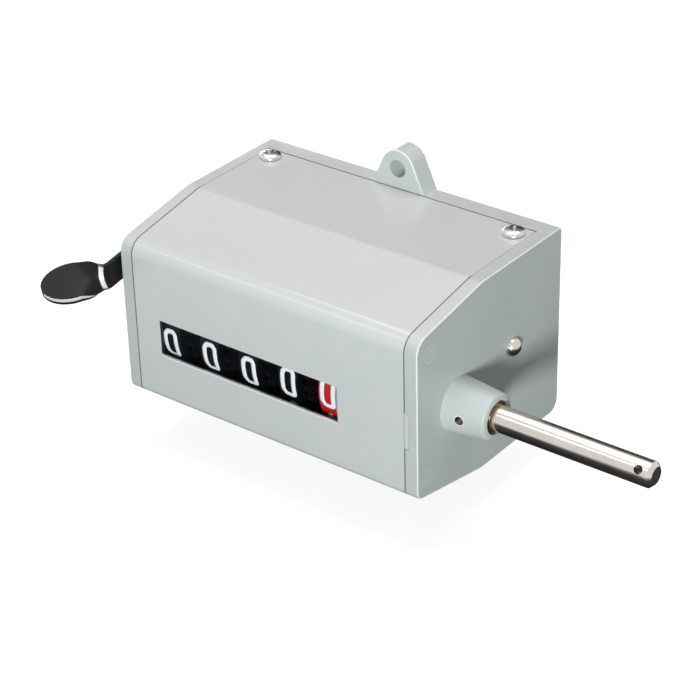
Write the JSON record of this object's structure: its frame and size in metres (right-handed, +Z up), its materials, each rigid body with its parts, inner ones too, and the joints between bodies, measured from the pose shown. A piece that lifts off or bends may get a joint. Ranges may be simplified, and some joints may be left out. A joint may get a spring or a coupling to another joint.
{
  "type": "mechanical revolution counter",
  "caption": "Box-shaped mechanical revolution counter with digit wheels behind a front window, a drive shaft on the right end and a thumb lever on the left that resets the wheels.",
  "frame": {"origin": "centre of the flat rear mounting face, midway between the two lug holes", "axes": "+X to the right along the drive shaft, +Y to the rear out of the mounting face, +Z up towards the upper lug"},
  "size_m": [0.1478, 0.0717, 0.0674],
  "materials": {
    "grey_housing": "satin grey paint on a die casting",
    "grey_cover": "semi-gloss grey paint on bent sheet",
    "bright_steel": "bright nickel plate",
    "bronze": "oil-filled bronze",
    "plain_steel": "plain stamped or drawn steel",
    "white_plastic": "natural moulded plastic",
    "black_plastic": "black moulded plastic with white digits",
    "red_plastic": "red moulded plastic with white digits",
    "brass": "machined brass",
    "dark_chrome": "black nickel plate",
    "clear": "clear acrylic"
  },
  "bodies": {
    "frame": {"housing": "grey_housing", "front_cover": "grey_cover", "cover_screws": "bright_steel", "window_lens": "clear", "shaft_bush": "bronze", "left_bush": "bronze", "counter_stud": "plain_steel", "return_spring": "plain_steel", "stop_pin": "plain_steel"},
    "drive": {"drive_shaft": "bright_steel", "drive_pinion": "brass", "drive_pin": "plain_steel", "retaining_ring": "plain_steel"},
    "counter": {"counter_gear": "white_plastic"},
    "rocker": {"pinion_shaft": "plain_steel", "pinion_clips": "plain_steel", "rocker_arm_left": "plain_steel", "rocker_arm_right": "plain_steel", "reset_comb": "plain_steel", "reset_shaft": "bright_steel", "reset_lever": "dark_chrome", "lever_nut": "bright_steel"},
    "wheel_1": {"units_gear": "white_plastic", "clutch_washer": "plain_steel", "number_wheel_1": "red_plastic"},
    "wheel_2": {"number_wheel_2": "black_plastic"},
    "wheel_3": {"number_wheel_3": "black_plastic"},
    "wheel_4": {"number_wheel_4": "black_plastic"},
    "wheel_5": {"number_wheel_5": "black_plastic"},
    "pinion_1": {"transfer_pinion_1": "white_plastic"},
    "pinion_2": {"transfer_pinion_2": "white_plastic"},
    "pinion_3": {"transfer_pinion_3": "white_plastic"},
    "pinion_4": {"transfer_pinion_4": "white_plastic"}
  },
  "joints": [
    {"name": "drive_spin", "type": "hinge", "parent": "frame", "child": "drive", "pos_m": [0.042, -0.041, -0.002], "axis": [-1, 0, 0], "continuous": true},
    {"name": "counter_spin", "type": "hinge", "parent": "frame", "child": "counter", "pos_m": [0.03, -0.034, 0.01012], "axis": [-1, 0, 0], "continuous": true},
    {"name": "wheel_1_spin", "type": "hinge", "parent": "frame", "child": "wheel_1", "pos_m": [0.0169, -0.041, -0.002], "axis": [-1, 0, 0], "continuous": true},
    {"name": "wheel_2_spin", "type": "hinge", "parent": "frame", "child": "wheel_2", "pos_m": [0.00541, -0.041, -0.002], "axis": [-1, 0, 0], "continuous": true},
    {"name": "wheel_3_spin", "type": "hinge", "parent": "frame", "child": "wheel_3", "pos_m": [-0.00609, -0.041, -0.002], "axis": [-1, 0, 0], "continuous": true},
    {"name": "wheel_4_spin", "type": "hinge", "parent": "frame", "child": "wheel_4", "pos_m": [-0.01758, -0.041, -0.002], "axis": [-1, 0, 0], "continuous": true},
    {"name": "wheel_5_spin", "type": "hinge", "parent": "frame", "child": "wheel_5", "pos_m": [-0.02907, -0.041, -0.002], "axis": [-1, 0, 0], "continuous": true},
    {"name": "reset_press", "type": "hinge", "parent": "frame", "child": "rocker", "pos_m": [-0.042, -0.0195, 0.002], "axis": [1, 0, 0], "range_deg": [0, 16], "stiffness_Nm_per_rad": 0.12, "springref_deg": -11.46, "deforming": ["return_spring"]},
    {"name": "pinion_1_spin", "type": "hinge", "parent": "rocker", "child": "pinion_1", "pos_m": [0.01115, -0.02778, -0.01065], "axis": [-1, 0, 0], "continuous": true},
    {"name": "pinion_2_spin", "type": "hinge", "parent": "rocker", "child": "pinion_2", "pos_m": [-0.00034, -0.02778, -0.01065], "axis": [-1, 0, 0], "continuous": true},
    {"name": "pinion_3_spin", "type": "hinge", "parent": "rocker", "child": "pinion_3", "pos_m": [-0.01183, -0.02778, -0.01065], "axis": [-1, 0, 0], "continuous": true},
    {"name": "pinion_4_spin", "type": "hinge", "parent": "rocker", "child": "pinion_4", "pos_m": [-0.02333, -0.02778, -0.01065], "axis": [-1, 0, 0], "continuous": true}
  ],
  "couplings": [
    {"joint": "counter_spin", "follows": "drive_spin", "ratio": -0.4},
    {"joint": "wheel_1_spin", "follows": "drive_spin", "ratio": 0.1},
    {"joint": "wheel_2_spin", "follows": "drive_spin", "ratio": 0.01},
    {"joint": "wheel_3_spin", "follows": "drive_spin", "ratio": 0.001},
    {"joint": "wheel_4_spin", "follows": "drive_spin", "ratio": 0.0001},
    {"joint": "wheel_5_spin", "follows": "drive_spin", "ratio": 0.00001},
    {"joint": "pinion_1_spin", "follows": "drive_spin", "ratio": -0.025},
    {"joint": "pinion_2_spin", "follows": "drive_spin", "ratio": -0.0025},
    {"joint": "pinion_3_spin", "follows": "drive_spin", "ratio": -0.00025},
    {"joint": "pinion_4_spin", "follows": "drive_spin", "ratio": -0.000025}
  ]
}
